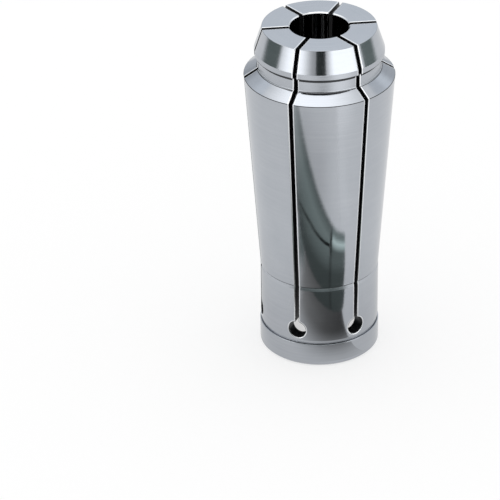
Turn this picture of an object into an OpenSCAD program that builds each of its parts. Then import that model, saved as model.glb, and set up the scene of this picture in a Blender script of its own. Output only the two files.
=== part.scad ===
// Precision collet, slotted from the nose and turned and ground from one bar.
// Millimetres. The origin is the centre of the rear face and +Z runs along the
// axis to the nose. The first slot lies on +X.

/* [Gripping bore] */
// Diameter of the bore that grips the tool
bore_d = 8; // [4:0.5:9.5]
// Length of the gripping bore, from the nose face
grip_len = 26; // [16:1:29]
// Chamfer at the mouth of the bore
mouth_chamfer = 0.15; // [0.05:0.05:0.4]

/* [Rear counterbore] */
// Diameter of the clearance bore behind the grip
counterbore_d = 13; // [11:0.25:13.5]
// Half angle of the cone that joins the two bores
bore_cone_angle = 30; // [25:1:60]
// Chamfer at the rear end of the counterbore
rear_chamfer = 0.4; // [0.1:0.1:0.6]

/* [Nose] */
// Diameter of the flat nose face
face_d = 15.5; // [13:0.1:16.2]
// Diameter of the land behind the nose cone
head_d = 17.6; // [16.5:0.1:18.5]
// Length of the nose cone
nose_len = 3.15; // [2:0.05:5]
// Length of the cylindrical land
land_len = 0.85; // [0.6:0.05:2]

/* [Neck groove] */
// Depth of the groove below the land
groove_depth = 0.45; // [0.4:0.05:0.8]
// Length of the groove
neck_len = 1.85; // [1:0.05:4]
// Radius in the corners of the groove
neck_fillet = 0.2; // [0.1:0.05:0.3]

/* [Ground taper] */
// Diameter at the big end of the taper
big_d = 20.5; // [19.5:0.1:22]
// Length of the shoulder between the big end and the groove
shoulder_len = 1.2; // [0.6:0.1:2.5]
// Half angle of the taper
taper_angle = 4; // [3.5:0.1:6]

/* [Tail] */
// Diameter of the plain tail
tail_d = 16.44; // [15.8:0.02:17]
// Length from the rear face to the small end of the taper
tail_len = 12.6; // [10:0.1:18]
// Height of the guide ring above the plain tail
ring_step = 0.1; // [0.05:0.05:0.4]
// Length of the guide ring
ring_len = 3.4; // [2:0.1:5]
// Chamfer at the foot of the guide ring
foot_chamfer = 0.3; // [0.1:0.1:0.8]

/* [Grinding reliefs] */
// Depth of the reliefs at the small end of the taper and above the ring
relief_depth = 0.1; // [0.05:0.01:0.2]
// Length of each relief
relief_len = 0.6; // [0.3:0.05:0.8]

/* [Slots] */
// Number of slots, which is also the number of fingers
slot_count = 6; // [3:1:8]
// Width of each slot
slot_w = 0.5; // [0.3:0.05:0.8]
// Diameter of the round hole that ends each slot
hole_d = 2.5; // [1.5:0.1:2.8]
// Distance from the guide ring to the edge of the hole
hole_gap = 0.9; // [0.5:0.05:2]

/* [Edges] */
// Radius on the ground edges of the nose, the shoulder and the ring
edge_r = 0.08; // [0.04:0.01:0.09]
// Radius between the nose cone and the land
nose_r = 0.4; // [0.2:0.05:0.6]

/* [Hidden] */
$fn = 96;

// Points in each rounded corner, and how far a cutter runs past the surface
ARC_STEPS = 4;
PAST = 1;

bore_r = bore_d / 2;
counterbore_r = counterbore_d / 2;
face_r = face_d / 2;
head_r = head_d / 2;
neck_r = head_r - groove_depth;
big_r = big_d / 2;
tail_r = tail_d / 2;
ring_r = tail_r + ring_step;
relief_r = tail_r - relief_depth;

taper_len = (big_r - tail_r) / tan(taper_angle);
bore_cone_len = (counterbore_r - bore_r) / tan(bore_cone_angle);

// Heights of the steps of the outline
big_z = tail_len + taper_len;
neck_z = big_z + shoulder_len;
land_z = neck_z + neck_len;
cone_z = land_z + land_len;
face_z = cone_z + nose_len;
grip_z = face_z - grip_len;
hole_z = ring_len + hole_gap + hole_d / 2;

// Corners of the wall's section as [radius, height, corner radius]: up the
// outside from the foot to the nose, then down the bore
OUTSIDE = [
    [ring_r - foot_chamfer, 0, 0],
    [ring_r, foot_chamfer, 0],
    [ring_r, ring_len, edge_r],
    [relief_r, ring_len, 0],
    [relief_r, ring_len + relief_len / 2, 0],
    [tail_r, ring_len + relief_len, 0],
    [tail_r, tail_len - relief_len, 0],
    [relief_r, tail_len, 0],
    [tail_r, tail_len, 0],
    [big_r, big_z, edge_r],
    [neck_r, neck_z, neck_fillet],
    [neck_r, land_z, neck_fillet],
    [head_r, land_z, edge_r],
    [head_r, cone_z, nose_r],
    [face_r, face_z, edge_r],
];
INSIDE = [
    [bore_r + mouth_chamfer, face_z, 0],
    [bore_r, face_z - mouth_chamfer, 0],
    [bore_r, grip_z, 0],
    [counterbore_r, grip_z - bore_cone_len, 0],
    [counterbore_r, rear_chamfer, 0],
    [counterbore_r + rear_chamfer, 0, 0],
];

function unit(v) = v / norm(v);
function flat(corner) = [corner[0], corner[1]];

// The turn from angle a to angle b, the short way round
function turn(a, b) = (b - a + 540) % 360 - 180;

// Points of the arc that rounds corner p, which lies between a and b
function arc_points(a, p, b, r) =
    let (
        u = unit(a - p),
        v = unit(b - p),
        half = acos(u * v) / 2,
        centre = p + unit(u + v) * r / sin(half),
        from = p + u * r / tan(half) - centre,
        to = p + v * r / tan(half) - centre,
        start = atan2(from[1], from[0]),
        sweep = turn(start, atan2(to[1], to[0]))
    )
    [for (i = [0 : ARC_STEPS])
        let (angle = start + sweep * i / ARC_STEPS)
        centre + r * [cos(angle), sin(angle)]];

// The closed outline, each corner with a radius replaced by its arc
function outline(corners) =
    let (count = len(corners))
    [for (i = [0 : count - 1])
        let (
            before = flat(corners[(i + count - 1) % count]),
            here = flat(corners[i]),
            after = flat(corners[(i + 1) % count]),
            r = corners[i][2]
        )
        each (r > 0 ? arc_points(before, here, after, r) : [here])];

// The turned and ground blank, bored through
module blank() {
    rotate_extrude()
        polygon(outline(concat(OUTSIDE, INSIDE)));
}

// One slot from the nose down to its relief hole, cut outwards from the axis
module slot_cut() {
    reach = big_r + PAST;
    translate([0, -slot_w / 2, hole_z])
        cube([reach, slot_w, face_z - hole_z + PAST]);
    translate([0, 0, hole_z])
        rotate([0, 90, 0])
            cylinder(d = hole_d, h = reach);
}

module collet() {
    color("silver")
        difference() {
            blank();
            for (i = [0 : slot_count - 1])
                rotate([0, 0, i * 360 / slot_count])
                    slot_cut();
        }
}

collet();
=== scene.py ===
"""Looks of a precision collet: one turned, slotted and ground body of hardened steel."""

import math

import bmesh
import bpy
from mathutils import Matrix, Vector


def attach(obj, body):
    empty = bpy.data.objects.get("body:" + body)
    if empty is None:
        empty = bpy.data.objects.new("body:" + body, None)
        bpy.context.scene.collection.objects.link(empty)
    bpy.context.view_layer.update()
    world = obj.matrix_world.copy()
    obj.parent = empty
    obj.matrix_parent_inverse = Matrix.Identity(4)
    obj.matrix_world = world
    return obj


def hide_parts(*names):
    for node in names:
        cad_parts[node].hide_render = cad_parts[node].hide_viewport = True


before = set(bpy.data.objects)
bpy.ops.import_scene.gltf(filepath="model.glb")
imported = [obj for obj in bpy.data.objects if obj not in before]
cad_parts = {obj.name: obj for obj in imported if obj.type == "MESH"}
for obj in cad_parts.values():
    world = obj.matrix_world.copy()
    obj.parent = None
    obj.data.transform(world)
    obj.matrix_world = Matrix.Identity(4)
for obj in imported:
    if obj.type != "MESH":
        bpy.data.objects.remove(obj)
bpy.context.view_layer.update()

MM = 0.001

# Sizes of the collet in millimetres, as in the part's source
BORE_R = 4.0
MOUTH_CHAMFER = 0.15
GRIP_LEN = 26.0
COUNTERBORE_R = 6.5
BORE_CONE_ANGLE = math.radians(30)
REAR_CHAMFER = 0.4
FACE_R = 7.75
HEAD_R = 8.8
NOSE_LEN = 3.15
LAND_LEN = 0.85
GROOVE_DEPTH = 0.45
NECK_LEN = 1.85
NECK_FILLET = 0.2
BIG_R = 10.25
SHOULDER_LEN = 1.2
TAPER_ANGLE = math.radians(4)
TAIL_R = 8.22
TAIL_LEN = 12.6
RING_STEP = 0.1
RING_LEN = 3.4
FOOT_CHAMFER = 0.3
RELIEF_DEPTH = 0.1
RELIEF_LEN = 0.6
SLOT_COUNT = 6
SLOT_W = 0.5
HOLE_R = 1.25
HOLE_GAP = 0.9
EDGE_R = 0.08
NOSE_R = 0.4

# Finer details in millimetres: roundings of the groove's lower corner, the land's lower edge and
# the shoulder's edge, flat floors of the reliefs, and strips of painted shadow on the ring and
# under the land
NECK_FOOT_FILLET = 0.34
LAND_EDGE_R = 0.16
SHOULDER_EDGE_R = 0.1
RELIEF_FLOOR = 0.15
RING_SHADOW = 0.07
LAND_SHADOW = 0.4

# Deburred edges of the slots and holes, in millimetres
DEBURR_DEPTH = 0.03
DEBURR_WIDTH = 0.2

# How finely the mesh is cut, and the gap in millimetres that is welded shut
DEBURR_STEPS = 3
ARC_STEPS = 4
HOLE_STEPS = 20
FINGER_COLUMNS = 24
WELD = 0.0001

# Finishes, in the order of the piece's materials
GROUND, CUT_SHADE, EDGE_HIGHLIGHT, TURNED, POLISHED, HONED_SHADE, BORED_SHADE = range(7)

# Radii and heights of the outline's steps
RING_R = TAIL_R + RING_STEP
RELIEF_R = TAIL_R - RELIEF_DEPTH
NECK_R = HEAD_R - GROOVE_DEPTH
BIG_Z = TAIL_LEN + (BIG_R - TAIL_R) / math.tan(TAPER_ANGLE)
NECK_Z = BIG_Z + SHOULDER_LEN
LAND_Z = NECK_Z + NECK_LEN
CONE_Z = LAND_Z + LAND_LEN
FACE_Z = CONE_Z + NOSE_LEN
GRIP_Z = FACE_Z - GRIP_LEN
BORE_CONE_Z = GRIP_Z - (COUNTERBORE_R - BORE_R) / math.tan(BORE_CONE_ANGLE)
HOLE_Z = RING_LEN + HOLE_GAP + HOLE_R

# The camera. The photograph is square, and the middle of the collet's axis lies at this pixel. The
# distance from that middle and the sensor's width are in millimetres, the clip distances in metres.
PHOTO_SIZE = 500
FOCAL_PX = 3000
AXIS_PX = (319.3, 184.4)
CAMERA_AZIMUTH = math.radians(-8)
CAMERA_ELEVATION = math.radians(29.05)
CAMERA_DISTANCE = 413.6
SENSOR = 36.0
CLIP = (0.01, 10)

# Base colours of the steel
STEEL_DARK, STEEL_PALE = (0.45, 0.476, 0.515), (0.50, 0.524, 0.562)
# Painted shade: the honed bore's colours are darker than the steel, for the shade inside it
HONED_SHADE_DARK, HONED_SHADE_PALE = (0.24, 0.25, 0.26), (0.30, 0.31, 0.32)
# Painted shade: the cut colours are near black, for the shade in the slots, the holes and the
# creases
CUT_SHADE_DARK, CUT_SHADE_PALE = (0.03, 0.031, 0.033), (0.09, 0.093, 0.098)
# Painted shade: the bored counterbore's colours are darker than the steel, for the shade inside the
# collet
BORED_SHADE_DARK, BORED_SHADE_PALE = (0.12, 0.125, 0.13), (0.26, 0.27, 0.28)
# Painted highlight: paler than the steel, so the edges beside the slots and holes shine
EDGE_HIGHLIGHT_DARK, EDGE_HIGHLIGHT_PALE = (0.80, 0.82, 0.85), (0.93, 0.95, 0.97)

# Marks and wear on the steel in metres: how wide they are and how deep
MARK_PITCH, MARK_DEPTH = 0.00025, 0.0000013
GRAIN_SIZE, GRAIN_DEPTH = 0.00018, 0.0000012
POLISHED_GRAIN_DEPTH = 0.0000022
DULL_PITCH, DULL_DEPTH = 0.0002, 0.00001
SMUDGE_SIZE = 0.004
WEAR_SIZE = 0.0015

# Sums of marks and smudges at which fine steel is all dark and all pale
SHADE_RANGE = (0.6, 1.4)

# Roughness of fine steel, as shares of the one asked for: the least, and what marks and smudges add
ROUGH_LEAST, ROUGH_MARKS, ROUGH_SMUDGES = 0.46, 0.46, 0.6

# Roughness of dull steel and of the edges: the least, and what marks or wear add
DULL_LEAST, DULL_MARKS = 0.35, 0.2
EDGE_LEAST, EDGE_WEAR = 0.12, 0.15

# How far turned steel draws its reflections out, and how far the honed bore does
SMEAR, HONED_SMEAR = 0.85, 0.3

# The floor in metres, just clear of the rear face
FLOOR_HALF = 1.5
FLOOR_Z = -0.00002
FLOOR_GREY = (0.45, 0.45, 0.45, 1)

# Strengths as plain light, for the camera, and in reflections and glass. The floor's brings its
# grey up to white, and the world's is white where it shows.
FLOOR_LEVELS = (0, 0.6, 0.48)
WORLD_LEVELS = (0.9, 1.0, 1.0)

# Tints of the cards
WHITE = (1.0, 1.0, 1.0)
GREEN_GREY = (0.85, 1.0, 0.95)
WARM_GREY = (1.0, 0.98, 0.95)
COOL_GREY = (0.96, 1.0, 1.05)

# How many degrees one flat part of a standing card spans at most
CARD_TURN = 10

# Cards that stand round the collet: name, first and last azimuth in degrees from the camera's own,
# distance, bottom and top in metres, then levels, fades and tint
STANDING_CARDS = [
    ("front_wall", -50, 32, 0.66, 0, 0.5,
     [(0, 0.55)], (0.1, 0.1, 0, 0.1), WHITE),
    ("left_softbox", -80, -8, 0.55, 0, 0.4,
     [(0, 1.95), (0.4, 1.95), (0.55, 1.1)], (0.42, 0.4, 0, 0.1), WHITE),
    ("right_softbox", 8, 86, 0.55, 0, 0.4,
     [(0, 2.0), (0.4, 2.0), (0.55, 1.1)], (0.24, 0.36, 0, 0.1), WHITE),
    ("front_gap", -5.8, 11, 0.5, 0, 0.9,
     [(0, 0.042)], (0, 0, 0, 0), GREEN_GREY),
    ("left_gap", -158, -69, 0.34, 0, 0.11,
     [(0, 0.18)], (0.35, 0.1, 0.22, 0.1), GREEN_GREY),
    ("right_gap", 79, 140, 0.34, 0, 0.11,
     [(0, 0.23)], (0.06, 0.4, 0.2, 0.1), GREEN_GREY),
    ("front_dark", -80, 80, 0.5, 0.16, 0.8,
     [(0, 0.22)], (0.15, 0.15, 0.04, 0.2), WHITE),
    ("back_wall", 100, 206, 0.6, 0, 0.7,
     [(0, 0.6), (0.35, 0.62), (0.5, 0.97), (0.6, 0.97), (0.7, 0.76)],
     (0.18, 0, 0, 0.12), COOL_GREY),
    ("side_wall", 198, 262, 0.62, 0, 0.72,
     [(0, 0.5), (0.35, 0.52), (0.5, 0.76), (0.6, 0.78), (0.75, 0.97)],
     (0, 0.3, 0, 0.12), COOL_GREY),
]

# The card overhead: name, both ends of its x and of its y and its height in metres, then levels,
# fades and tint
TOP_CARD = ("top_softbox", (-0.85, 0.6), (-0.8, 0.65), 0.8,
            [(0, 1.85)], (0.45, 0.42, 0.42, 0.42), WHITE)

# Cards that lie over the floor: name, lift, and near left, near right, far left and far right
# corners in millimetres, then levels, fades and tint
LYING_CARDS = [
    # The next three paint the floor's shadow between the roll and the collet, as the steel reflects
    # it
    ("dark_mat", 0.7, [(12.8, -26), (5, -5), (-22, -37.8), (-20, -12.6)],
     [(0, 0.065), (0.1, 0.075), (0.33, 0.11), (0.55, 0.19), (0.77, 0.26)],
     (0, 0.45, 0, 0.22), WARM_GREY),
    ("mat_fold", 0.8, [(-34, -40), (13, -27), (-22, -22), (8, -16)],
     [(0, 0.12)], (0.14, 0, 0, 0.6), WARM_GREY),
    ("mat_edge", 0.9, [(-33, -35), (-27.8, -39.8), (-17, -17.7), (-11.8, -22.5)],
     [(0, 0.18), (1, 0.2)], (0.1, 0.4, 0.25, 0.3), GREEN_GREY),
    ("front_shade", 0.6, [(-50, -74), (22, -74), (-40, -28), (16, -28)],
     [(0, 0.66)], (0.3, 0.4, 0.6, 0.2), WHITE),
    ("centre_shade", 0.5, [(-20, -130), (24, -130), (-14, -72), (16, -72)],
     [(0, 0.52)], (0.35, 0.35, 0.4, 0.3), WHITE),
    ("right_glow", 0.4, [(28, -160), (150, -90), (14, -18), (30, -12)],
     [(0, 1.6), (0.5, 1.35), (0.75, 0.95)], (0.3, 0.4, 0.3, 0.2), WHITE),
    ("left_glow", 0.3, [(-130, -130), (-30, -150), (-70, -66), (-20, -74)],
     [(0, 1.15)], (0.3, 0.3, 0.3, 0.2), WHITE),
    ("foot_shade", 0.2, [(-32, -32), (32, -32), (-32, 32), (32, 32)],
     [(0, 0.74)], (0.35, 0.35, 0.35, 0.35), WHITE),
]

# The axis of the low roll beside the collet, in millimetres
ROLL_START = Vector((10.9, -21.7, 8.3))
ROLL_WAY = (Vector((-35.3, -38.8, 10.3)) - ROLL_START).normalized()

# Its leans in degrees from the low side to the middle, the steps from there to its upper rim, and
# the fade at that rim
ROLL_LEANS = range(-70, 1, 10)
ROLL_RIM_STEPS = 8
ROLL_RIM_FADE = 0.08

# Its parts: name, stations, levels and the fade at the far end. A station is a distance along the
# roll in millimetres, the radius there and the upper rim's lean in degrees.
# The levels paint the roll's light and shade: dark on its low side, paler towards its rim, and a
# painted highlight near the rim of its end
ROLL_PARTS = [
    ("roll_end", [(0, 8.3, 45), (4, 8.3, 50), (5.8, 8.3, 54.5)],
     [(0, 0.07), (0.47, 0.1), (0.62, 0.17), (0.73, 0.17), (0.82, 0.88), (0.885, 0.32), (0.95, 0.27),
      (1, 0.32)], 0),
    ("roll_groove", [(5.8, 8.1, 54.5), (6.8, 8.1, 57)],
     [(0, 0.04), (0.47, 0.06), (0.62, 0.1), (0.7, 0.03), (0.85, 0.02), (0.91, 0.14), (1, 0.12)],
     0),
    ("roll_body", [(6.8, 8.3, 57), (8, 8.2, 60.5), (12.3, 8.2, 71), (20, 8.8, 83), (27, 9.2, 86.5),
                   (41.6, 10.25, 89), (42.8, 8.4, 89), (48.7, 7.8, 89)],
     [(0, 0.07), (0.47, 0.09), (0.62, 0.2), (0.8, 0.3), (0.92, 0.16), (1, 0.12)], 0.5),
]

# Its black slit: stations whose lean is the slit's own, half of its width in degrees, and the fade
# at its far end
ROLL_SLIT = [(6.8, 8.4, 30), (12.3, 8.3, 30), (17.7, 8.7, 29), (20.7, 8.9, 25), (23.4, 9.1, 21),
             (26.6, 9.3, 15), (30.9, 9.6, 6)]
SLIT_HALF = 1.7
SLIT_FADE = 0.3


def new_object(name, data):
    """A new object, linked to the scene."""
    item = bpy.data.objects.new(name, data)
    bpy.context.scene.collection.objects.link(item)
    return item


class Row:
    """One ring of the wall's outline, with a shading normal on each side and the finish before it.

    A ring at the edge of a relief hole also has its place along that edge, from 0 at the slot to 1
    at the hole's lowest point.
    """

    def __init__(self, point, before, after, finish, hole_turn=None):
        self.point = point
        self.before = before
        self.after = after
        self.finish = finish
        self.hole_turn = hole_turn
        self.inset = (before + after) / (1 + before.dot(after))

    def hole_angle(self, spare):
        """Angle of the ring's place round the hole's centre, a distance outside the hole's edge."""
        top = math.acos((SLOT_W / 2 + spare) / (HOLE_R + spare))
        return top + (-math.pi / 2 - top) * self.hole_turn

    def place(self, depth, spare):
        """Radius, height and half width of the opening, widened by a distance on each side.

        The depth is under the wall's surface. Below the slots the half width is 0.
        """
        if self.hole_turn is not None:
            reach, angle = HOLE_R + spare, self.hole_angle(spare)
            radius = self.point.x - depth * self.before.x
            return radius, HOLE_Z + reach * math.sin(angle), reach * math.cos(angle)
        spot = self.point - self.inset * depth
        half = SLOT_W / 2 + spare if spot.y > HOLE_Z else 0.0
        return spot.x, spot.y, half

    def towards_opening(self, side):
        """Direction into the slot or the hole, in the slot's own frame."""
        if self.hole_turn is None:
            return Vector((0, -side, 0))
        angle = self.hole_angle(0)
        return Vector((0, -side * math.cos(angle), -math.sin(angle)))


def outward(a, b):
    """Unit normal on the right of the way from a to b."""
    way = (b - a).normalized()
    return Vector((way.y, -way.x))


def corner_rows(a, p, b, radius, finish, arc=None):
    """Rows of the corner p between a and b: a sharp one, or an arc that touches both sides."""
    before, after = outward(a, p), outward(p, b)
    if radius == 0:
        return [Row(p, before, after, finish)]
    finishes = [finish] + (arc or [finish] * ARC_STEPS)
    reach = radius * math.copysign(1, -before.angle_signed(after))
    centre = p - (before + after) / (1 + before.dot(after)) * reach
    rows = []
    for i in range(ARC_STEPS + 1):
        normal = before.slerp(after, i / ARC_STEPS)
        rows.append(Row(centre + normal * reach, normal, normal, finishes[i]))
    return rows


def hole_rows(radius, finish, outside):
    """Rows along the relief hole's edge: up to the slot on the outside, down from it inside."""
    normal = Vector((1 if outside else -1, 0))
    turns = [i / HOLE_STEPS for i in range(HOLE_STEPS + 1)]
    if outside:
        turns.reverse()
    return [Row(Vector((radius, HOLE_Z)), normal, normal, finish, turn) for turn in turns]


def wall_rows():
    """Rows of the whole wall: up the outside, across the nose, down the bore and across the foot.

    Each corner has its radius, its height, its rounding, and the finish of the surface that leads
    to it. The parts of a rounding may have their own finishes.
    """
    corners = [
        (RING_R - FOOT_CHAMFER, 0, 0, GROUND),
        (RING_R, FOOT_CHAMFER, 0, GROUND),
        (RING_R, RING_LEN, EDGE_R, GROUND),
        # The dark cut finish paints shade here and below: shadow lines on the ring's top, at the
        # taper's end, on the shoulder's edge, in the groove's lower corner, under the land and on
        # the land's lower edge
        (RELIEF_R + RING_SHADOW, RING_LEN, 0, GROUND),
        (RELIEF_R, RING_LEN, 0, CUT_SHADE),
        (RELIEF_R, RING_LEN + RELIEF_FLOOR, 0, TURNED),
        (TAIL_R, RING_LEN + RELIEF_LEN, 0, TURNED),
        "outside hole",
        (TAIL_R, TAIL_LEN - RELIEF_LEN, 0, GROUND),
        (RELIEF_R, TAIL_LEN - RELIEF_FLOOR, 0, TURNED),
        (RELIEF_R, TAIL_LEN, 0, CUT_SHADE),
        (TAIL_R, TAIL_LEN, 0, CUT_SHADE),
        (BIG_R, BIG_Z, SHOULDER_EDGE_R, GROUND, [CUT_SHADE] * ARC_STEPS),
        (NECK_R, NECK_Z, NECK_FOOT_FILLET, GROUND, [CUT_SHADE, TURNED, TURNED, POLISHED]),
        (NECK_R, LAND_Z - LAND_SHADOW, 0, TURNED),
        (NECK_R, LAND_Z, NECK_FILLET, CUT_SHADE),
        (HEAD_R, LAND_Z, LAND_EDGE_R, CUT_SHADE),
        (HEAD_R, CONE_Z, NOSE_R, TURNED),
        (FACE_R, FACE_Z, EDGE_R, POLISHED),
        (BORE_R + MOUTH_CHAMFER, FACE_Z, 0, GROUND),
        (BORE_R, FACE_Z - MOUTH_CHAMFER, 0, EDGE_HIGHLIGHT),
        (BORE_R, GRIP_Z, 0, HONED_SHADE),
        (COUNTERBORE_R, BORE_CONE_Z, 0, BORED_SHADE),
        "inside hole",
        (COUNTERBORE_R, REAR_CHAMFER, 0, BORED_SHADE),
        (COUNTERBORE_R + REAR_CHAMFER, 0, 0, EDGE_HIGHLIGHT),
    ]
    bends = [corner for corner in corners if not isinstance(corner, str)]
    rows = []
    for corner in corners:
        if corner == "outside hole":
            rows += hole_rows(TAIL_R, GROUND, True)
        elif corner == "inside hole":
            rows += hole_rows(COUNTERBORE_R, BORED_SHADE, False)
        else:
            i = bends.index(corner)
            nearby = [Vector(bends[(i + step) % len(bends)][:2]) for step in (-1, 0, 1)]
            rows += corner_rows(*nearby, *corner[2:])
    return rows


def spun(radius, half, height, side, turn):
    """Point beside an opening: its side is 1 or -1, and turn is the opening's own angle."""
    along = math.sqrt(radius * radius - half * half)
    return Matrix.Rotation(turn, 3, "Z") @ Vector((along, side * half, height))


def around(normal, angle):
    """A normal of the outline, turned to an angle round the axis."""
    return Vector((normal.x * math.cos(angle), normal.x * math.sin(angle), normal.y))


class Body:
    """Collects faces with their own shading normals and makes one closed mesh of them."""

    def __init__(self):
        self.mesh = bmesh.new()
        self.shade = self.mesh.loops.layers.float_vector.new("shade")

    def face(self, points, normals, finish):
        """Adds one face, turned to the side that its shading normals point to."""
        verts = [self.mesh.verts.new(point) for point in points]
        face = self.mesh.faces.new(verts)
        face.material_index = finish
        for loop, normal in zip(face.loops, normals):
            loop[self.shade] = normal
        face.normal_update()
        if face.normal.dot(sum(normals, Vector((0, 0, 0)))) < 0:
            face.normal_flip()

    def finish(self, name):
        """Welds the faces, cuts the slots' walls into triangles and makes the object, in metres."""
        bmesh.ops.remove_doubles(self.mesh, verts=self.mesh.verts, dist=WELD)
        walls = [face for face in self.mesh.faces if len(face.verts) > 4]
        bmesh.ops.triangulate(self.mesh, faces=walls)
        bmesh.ops.scale(self.mesh, verts=self.mesh.verts, vec=(MM, MM, MM))
        data = bpy.data.meshes.new(name)
        self.mesh.to_mesh(data)
        self.mesh.free()
        data.shade_smooth()
        normals = [Vector(item.vector).normalized() for item in data.attributes["shade"].data]
        data.attributes.remove(data.attributes["shade"])
        data.normals_split_custom_set(normals)
        return new_object(name, data)


def add_surface(body, rows, first, last):
    """The turned surface of one finger, between two openings."""
    for low, high in zip(rows, rows[1:] + rows[:1]):
        grid = []
        for row in (low, high):
            radius, height, half = row.place(0, DEBURR_WIDTH)
            spread = math.asin(half / radius)
            angles = [first + spread + (last - first - 2 * spread) * j / FINGER_COLUMNS
                      for j in range(FINGER_COLUMNS + 1)]
            grid.append([(Vector((radius * math.cos(angle), radius * math.sin(angle), height)),
                          angle) for angle in angles])
        for j in range(FINGER_COLUMNS):
            corners = [grid[0][j], grid[0][j + 1], grid[1][j + 1], grid[1][j]]
            sides = [low.after, low.after, high.before, high.before]
            normals = [around(normal, angle) for normal, (_, angle) in zip(sides, corners)]
            body.face([point for point, _ in corners], normals, high.finish)


def add_edges(body, rows, turn, side):
    """The rounded edge of one side of a slot and its relief hole."""
    spin = Matrix.Rotation(turn, 3, "Z")

    def corner(row, step, normal):
        lean = math.pi / 2 * step / DEBURR_STEPS
        depth, spare = DEBURR_DEPTH * (1 - math.cos(lean)), DEBURR_WIDTH * (1 - math.sin(lean))
        radius, height, half = row.place(depth, spare)
        angle = side * math.asin(half / radius)
        shade = around(normal, angle) * math.cos(lean) + row.towards_opening(side) * math.sin(lean)
        return spun(radius, half, height, side, turn), spin @ shade.normalized()

    for low, high in zip(rows, rows[1:]):
        # Edges take the pale colour with its painted highlight; inside the bore they keep its
        # darker colour
        finish = high.finish if high.finish in (HONED_SHADE, BORED_SHADE) else EDGE_HIGHLIGHT
        for step in range(DEBURR_STEPS):
            corners = [corner(low, step, low.after), corner(low, step + 1, low.after),
                       corner(high, step + 1, high.before), corner(high, step, high.before)]
            body.face([point for point, _ in corners], [normal for _, normal in corners], finish)


def add_wall(body, outer_hole, slot, inner_hole, turn, side):
    """The flat wall of a slot and the half of the relief hole below it."""
    spin = Matrix.Rotation(turn, 3, "Z")

    def wall(row):
        radius, height, half = row.place(DEBURR_DEPTH, 0)
        return spun(radius, half, height, side, turn)

    flat = spin @ Vector((0, -side, 0))
    # The walls of the slot and the hole take the dark cut finish, which paints the shade inside
    # them
    body.face([wall(row) for row in slot], [flat] * len(slot), CUT_SHADE)
    pairs = list(zip(reversed(outer_hole), inner_hole))
    for (outer_a, inner_a), (outer_b, inner_b) in zip(pairs, pairs[1:]):
        quad = [outer_a, inner_a, inner_b, outer_b]
        normals = [spin @ row.towards_opening(side) for row in quad]
        body.face([wall(row) for row in quad], normals, CUT_SHADE)


def build_collet():
    """The collet as one mesh: each finger, and both sides of each opening."""
    rows = wall_rows()
    holes = [i for i, row in enumerate(rows) if row.hole_turn is not None]
    opening = rows[holes[0]:holes[-1] + 1]
    outer_hole, inner_hole = opening[:HOLE_STEPS + 1], opening[-HOLE_STEPS - 1:]
    slot = opening[HOLE_STEPS:-HOLE_STEPS]
    body = Body()
    pitch = 2 * math.pi / SLOT_COUNT
    for k in range(SLOT_COUNT):
        add_surface(body, rows, k * pitch, (k + 1) * pitch)
        for side in (1, -1):
            add_edges(body, opening, k * pitch, side)
            add_wall(body, outer_hole, slot, inner_hole, k * pitch, side)
    return body.finish("collet_body")


def set_inputs(tree, node, inputs):
    """Gives each named input of the node its value or its link."""
    for name, value in inputs.items():
        if isinstance(value, bpy.types.NodeSocket):
            tree.links.new(value, node.inputs[name])
        else:
            node.inputs[name].default_value = value


def add_node(tree, kind, inputs=None, **settings):
    """A shader node with its settings and inputs."""
    node = tree.nodes.new(kind)
    for name, value in settings.items():
        setattr(node, name, value)
    set_inputs(tree, node, inputs or {})
    return node


def calculated(tree, operation, *values):
    """The result of a math node for values or sockets."""
    inputs = dict(enumerate(values))
    return add_node(tree, "ShaderNodeMath", inputs, operation=operation).outputs[0]


def scaled(tree, value, factor, shift):
    """The value times the factor, plus the shift."""
    return calculated(tree, "MULTIPLY_ADD", value, factor, shift)


def mixed_colour(tree, share, dark, pale):
    """The dark colour with a share of the pale one. The node takes its colours at 6 and 7."""
    inputs = {"Factor": share, 6: (*dark, 1), 7: (*pale, 1)}
    return add_node(tree, "ShaderNodeMix", inputs, data_type="RGBA").outputs[2]


def turned_noise(tree, pitch, detail):
    """Noise in rings round the axis, each pitch metres wide, which fades in and out on its way."""
    place = add_node(tree, "ShaderNodeTexCoord").outputs["Object"]
    parts = add_node(tree, "ShaderNodeSeparateXYZ", {0: place}).outputs
    flat = add_node(tree, "ShaderNodeCombineXYZ", {"X": parts["X"], "Y": parts["Y"]}).outputs[0]
    radius = add_node(tree, "ShaderNodeVectorMath", {0: flat}, operation="LENGTH").outputs["Value"]
    turn = scaled(tree, calculated(tree, "ARCTAN2", parts["Y"], parts["X"]), pitch, 0)
    rings = add_node(tree, "ShaderNodeCombineXYZ", {"X": radius, "Y": parts["Z"], "Z": turn})
    inputs = {"Vector": rings.outputs[0], "Scale": 1 / pitch, "Detail": detail}
    return add_node(tree, "ShaderNodeTexNoise", inputs).outputs["Fac"]


def plain_noise(tree, size, detail):
    """Even noise with spots about size metres across."""
    place = add_node(tree, "ShaderNodeTexCoord").outputs["Object"]
    inputs = {"Vector": place, "Scale": 1 / size, "Detail": detail}
    return add_node(tree, "ShaderNodeTexNoise", inputs).outputs["Fac"]


def new_material(name):
    """A new material, its node tree and its shader."""
    material = bpy.data.materials.new(name)
    material.use_nodes = True
    return material, material.node_tree, material.node_tree.nodes["Principled BSDF"]


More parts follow.
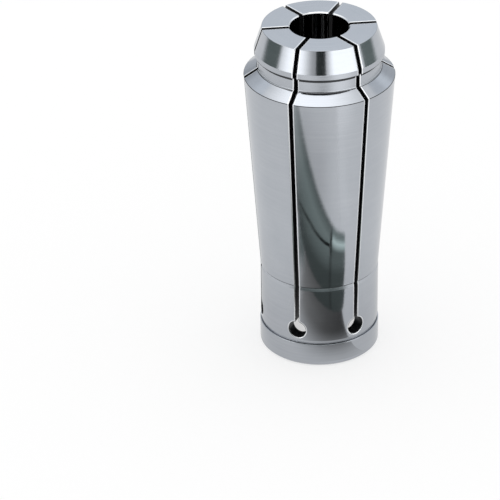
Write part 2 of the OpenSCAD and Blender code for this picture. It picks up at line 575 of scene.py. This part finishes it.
def fine_steel(name, dark, pale, roughness, smear=SMEAR, grain_depth=GRAIN_DEPTH):
    """Steel with fine marks round the axis, as turning, grinding or polishing leaves them."""
    material, tree, shader = new_material(name)
    marks = turned_noise(tree, MARK_PITCH, detail=3)
    smudges = plain_noise(tree, SMUDGE_SIZE, detail=3)
    grain = plain_noise(tree, GRAIN_SIZE, detail=2)
    low, high = SHADE_RANGE
    shade = add_node(tree, "ShaderNodeMapRange", {
        "Value": calculated(tree, "ADD", marks, smudges), "From Min": low, "From Max": high})
    rough = scaled(tree, marks, ROUGH_MARKS * roughness, ROUGH_LEAST * roughness)
    rough = scaled(tree, smudges, ROUGH_SMUDGES * roughness, rough)
    ripple = add_node(tree, "ShaderNodeBump", {"Height": marks, "Distance": MARK_DEPTH})
    relief = add_node(tree, "ShaderNodeBump", {
        "Height": grain, "Distance": grain_depth, "Normal": ripple.outputs["Normal"]})
    tangent = add_node(tree, "ShaderNodeTangent", direction_type="RADIAL", axis="Z")
    set_inputs(tree, shader, {
        "Base Color": mixed_colour(tree, shade.outputs["Result"], dark, pale),
        "Metallic": 1.0,
        "Roughness": rough,
        "Anisotropic": smear,
        "Tangent": tangent.outputs["Tangent"],
        "Normal": relief.outputs["Normal"],
    })
    return material


def dull_steel(name, dark, pale):
    """Dull steel, as a wire or a boring bar leaves it, in dark colours that paint the shade in the
    slots, creases and counterbore.
    """
    material, tree, shader = new_material(name)
    marks = turned_noise(tree, DULL_PITCH, detail=2)
    relief = add_node(tree, "ShaderNodeBump", {"Height": marks, "Distance": DULL_DEPTH})
    set_inputs(tree, shader, {
        "Base Color": mixed_colour(tree, marks, dark, pale),
        "Metallic": 1.0,
        "Roughness": scaled(tree, marks, DULL_MARKS, DULL_LEAST),
        "Normal": relief.outputs["Normal"],
    })
    return material


def edge_steel(name, dark, pale):
    """Deburred steel, polished by handling, in colours paler than the steel that paint a highlight
    on the edges.
    """
    material, tree, shader = new_material(name)
    wear = plain_noise(tree, WEAR_SIZE, detail=3)
    set_inputs(tree, shader, {
        "Base Color": mixed_colour(tree, wear, dark, pale),
        "Metallic": 1.0,
        "Roughness": scaled(tree, wear, EDGE_WEAR, EDGE_LEAST),
    })
    return material


def bare_material(name):
    """A new material and its node tree, emptied."""
    material = bpy.data.materials.new(name)
    material.use_nodes = True
    material.node_tree.nodes.clear()
    return material, material.node_tree


def card_material(name, levels, fades, colour):
    """Plain light with levels from the card's lower edge to its upper one, as (place, level) pairs.

    It fades to nothing within a share of the card's left, right, lower and upper part.
    """
    material, tree = bare_material(name)
    place = add_node(tree, "ShaderNodeTexCoord").outputs["UV"]
    parts = add_node(tree, "ShaderNodeSeparateXYZ", {0: place}).outputs
    cover = 1.0
    for axis, edge, share in zip("XXYY", (0, 1, 0, 1), fades):
        if share > 0:
            inputs = {"Value": parts[axis], "From Min": edge, "From Max": abs(edge - share)}
            fade = add_node(tree, "ShaderNodeMapRange", inputs, interpolation_type="SMOOTHSTEP")
            cover = calculated(tree, "MULTIPLY", cover, fade.outputs["Result"])
    strength = levels[0][1]
    for (low, below), (high, above) in zip(levels, levels[1:]):
        step = add_node(tree, "ShaderNodeMapRange", {
            "Value": parts["Y"], "From Min": low, "From Max": high,
            "To Min": 0.0, "To Max": above - below})
        strength = calculated(tree, "ADD", strength, step.outputs["Result"])
    light = add_node(tree, "ShaderNodeEmission", {"Color": (*colour, 1), "Strength": strength})
    clear = add_node(tree, "ShaderNodeBsdfTransparent")
    mix = add_node(tree, "ShaderNodeMixShader", {
        0: cover, 1: clear.outputs[0], 2: light.outputs[0]})
    add_node(tree, "ShaderNodeOutputMaterial", {"Surface": mix.outputs[0]})
    return material


def add_card(name, grid, levels, fades, colour):
    """A light panel or a dark flag over rows of points, which shows only as a reflection."""
    rows, columns = len(grid), len(grid[0])
    corners = [r * columns + c for r in range(rows - 1) for c in range(columns - 1)]
    faces = [(i, i + 1, i + columns + 1, i + columns) for i in corners]
    data = bpy.data.meshes.new(name)
    data.from_pydata([tuple(point) for row in grid for point in row], [], faces)
    places = data.uv_layers.new(name="card").data
    for loop in data.loops:
        row, column = divmod(loop.vertex_index, columns)
        places[loop.index].uv = (column / (columns - 1), row / (rows - 1))
    data.shade_smooth()
    data.materials.append(card_material(name, levels, fades, colour))
    card = new_object(name, data)
    card.visible_camera = False
    card.visible_diffuse = False
    card.visible_shadow = False


def studio_spot(azimuth, distance, height):
    """A point round the collet, at an azimuth in degrees from the camera's own."""
    angle = CAMERA_AZIMUTH + math.radians(azimuth)
    return Vector((math.sin(angle) * distance, -math.cos(angle) * distance, height))


def add_standing_card(name, first, last, distance, bottom, top, *look):
    """A card curved round the collet, between two azimuths and two heights."""
    columns = math.ceil((last - first) / CARD_TURN)
    azimuths = [first + (last - first) * i / columns for i in range(columns + 1)]
    grid = [[studio_spot(azimuth, distance, height) for azimuth in azimuths]
            for height in (bottom, top)]
    add_card(name, grid, *look)


def add_top_card(name, across, along, height, *look):
    """A flat card above the collet, between two places across and two along."""
    add_card(name, [[Vector((x, y, height)) for x in across] for y in along], *look)


def add_lying_card(name, lift, corners, *look):
    """A card lifted off the floor, over its four corners."""
    spots = [Vector((x, y, lift)) * MM for x, y in corners]
    add_card(name, [spots[:2], spots[2:]], *look)


def roll_spot(along, radius, lean):
    """A point on the side of the low roll, at an angle in degrees above its middle."""
    inward = Vector((ROLL_WAY.y, -ROLL_WAY.x, 0)).normalized()
    angle = math.radians(lean)
    side = inward * math.cos(angle) + Vector((0, 0, math.sin(angle)))
    return (ROLL_START + ROLL_WAY * along + side * radius) * MM


def add_low_roll():
    """The low roll in front of the collet and to its left, with painted shade on its low side and
    in its slit, and a painted highlight on its end.
    """
    turns = [(lean, 0) for lean in ROLL_LEANS]
    turns += [(0, step / ROLL_RIM_STEPS) for step in range(1, ROLL_RIM_STEPS + 1)]
    for name, stations, levels, far_fade in ROLL_PARTS:
        grid = [[roll_spot(along, radius, lean + rim * share) for along, radius, rim in stations]
                for lean, share in turns]
        add_card(name, grid, levels, (0, far_fade, 0, ROLL_RIM_FADE), GREEN_GREY)
    grid = [[roll_spot(along, radius, lean + half) for along, radius, lean in ROLL_SLIT]
            for half in (-SLIT_HALF, SLIT_HALF)]
    add_card("roll_slit", grid, [(0, 0)], (0, SLIT_FADE, 0, 0), WHITE)


def build_studio():
    """The cards that the steel reflects."""
    for card in STANDING_CARDS:
        add_standing_card(*card)
    add_top_card(*TOP_CARD)
    for card in LYING_CARDS:
        add_lying_card(*card)
    add_low_roll()


def seen_level(tree, plain, camera, mirrored):
    """A strength for the camera, one for reflections and glass, and a plain one otherwise."""
    ray = add_node(tree, "ShaderNodeLightPath").outputs
    total = scaled(tree, ray["Is Camera Ray"], camera - plain, plain)
    total = scaled(tree, ray["Is Glossy Ray"], mirrored - plain, total)
    return scaled(tree, ray["Is Transmission Ray"], mirrored - plain, total)


def build_floor():
    """Grey paper that shows as white and keeps the collet's shadow."""
    half = FLOOR_HALF
    corners = [(-half, -half), (half, -half), (half, half), (-half, half)]
    data = bpy.data.meshes.new("floor")
    data.from_pydata([(x, y, FLOOR_Z) for x, y in corners], [], [(0, 1, 2, 3)])
    floor = new_object("floor", data)
    material, tree = bare_material("white_floor")
    paper = add_node(tree, "ShaderNodeBsdfDiffuse", {"Color": FLOOR_GREY})
    fill = add_node(tree, "ShaderNodeEmission", {"Strength": seen_level(tree, *FLOOR_LEVELS)})
    both = add_node(tree, "ShaderNodeAddShader", {0: paper.outputs[0], 1: fill.outputs[0]})
    add_node(tree, "ShaderNodeOutputMaterial", {"Surface": both.outputs[0]})
    data.materials.append(material)


def light_world():
    """Even light from all sides."""
    world = bpy.data.worlds.new("studio")
    bpy.context.scene.world = world
    world.use_nodes = True
    tree = world.node_tree
    set_inputs(tree, tree.nodes["Background"], {
        "Color": (1, 1, 1, 1), "Strength": seen_level(tree, *WORLD_LEVELS)})


def add_camera():
    """The photograph's camera, turned so that the axis's middle lands on its own pixel."""
    data = bpy.data.cameras.new("camera")
    data.sensor_width = SENSOR
    data.lens = FOCAL_PX / PHOTO_SIZE * SENSOR
    data.clip_start, data.clip_end = CLIP
    camera = new_object("camera", data)
    back = Vector((
        math.sin(CAMERA_AZIMUTH) * math.cos(CAMERA_ELEVATION),
        -math.cos(CAMERA_AZIMUTH) * math.cos(CAMERA_ELEVATION),
        math.sin(CAMERA_ELEVATION),
    ))
    camera.location = Vector((0, 0, FACE_Z / 2 * MM)) + back * CAMERA_DISTANCE * MM
    right = math.atan((AXIS_PX[0] - PHOTO_SIZE / 2) / FOCAL_PX)
    up = math.atan((PHOTO_SIZE / 2 - AXIS_PX[1]) / FOCAL_PX)
    look = (-back).to_track_quat("-Z", "Y").to_matrix()
    aim = look @ Matrix.Rotation(right, 3, "Y") @ Matrix.Rotation(-up, 3, "X")
    camera.rotation_mode = "QUATERNION"
    camera.rotation_quaternion = aim.to_quaternion()
    bpy.context.scene.camera = camera


bpy.context.scene.view_settings.view_transform = "Standard"

finishes = [
    fine_steel("ground_steel", STEEL_DARK, STEEL_PALE, roughness=0.1),
    # Painted shade in the slots, the holes and the creases
    dull_steel("cut_steel_painted_shade", CUT_SHADE_DARK, CUT_SHADE_PALE),
    # Painted highlight along the edges of the slots and holes
    edge_steel("polished_edge_painted_highlight", EDGE_HIGHLIGHT_DARK, EDGE_HIGHLIGHT_PALE),
    fine_steel("turned_steel", STEEL_DARK, STEEL_PALE, roughness=0.24),
    fine_steel("polished_steel", STEEL_DARK, STEEL_PALE, roughness=0.08,
               grain_depth=POLISHED_GRAIN_DEPTH),
    # Painted shade inside the bore and the counterbore: the next two
    fine_steel("honed_steel_painted_shade", HONED_SHADE_DARK, HONED_SHADE_PALE, roughness=0.06, smear=HONED_SMEAR),
    dull_steel("bored_steel_painted_shade", BORED_SHADE_DARK, BORED_SHADE_PALE),
]

collet = build_collet()
for finish in finishes:
    collet.data.materials.append(finish)
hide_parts("collet")
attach(collet, "root")

build_floor()
build_studio()
light_world()
add_camera()
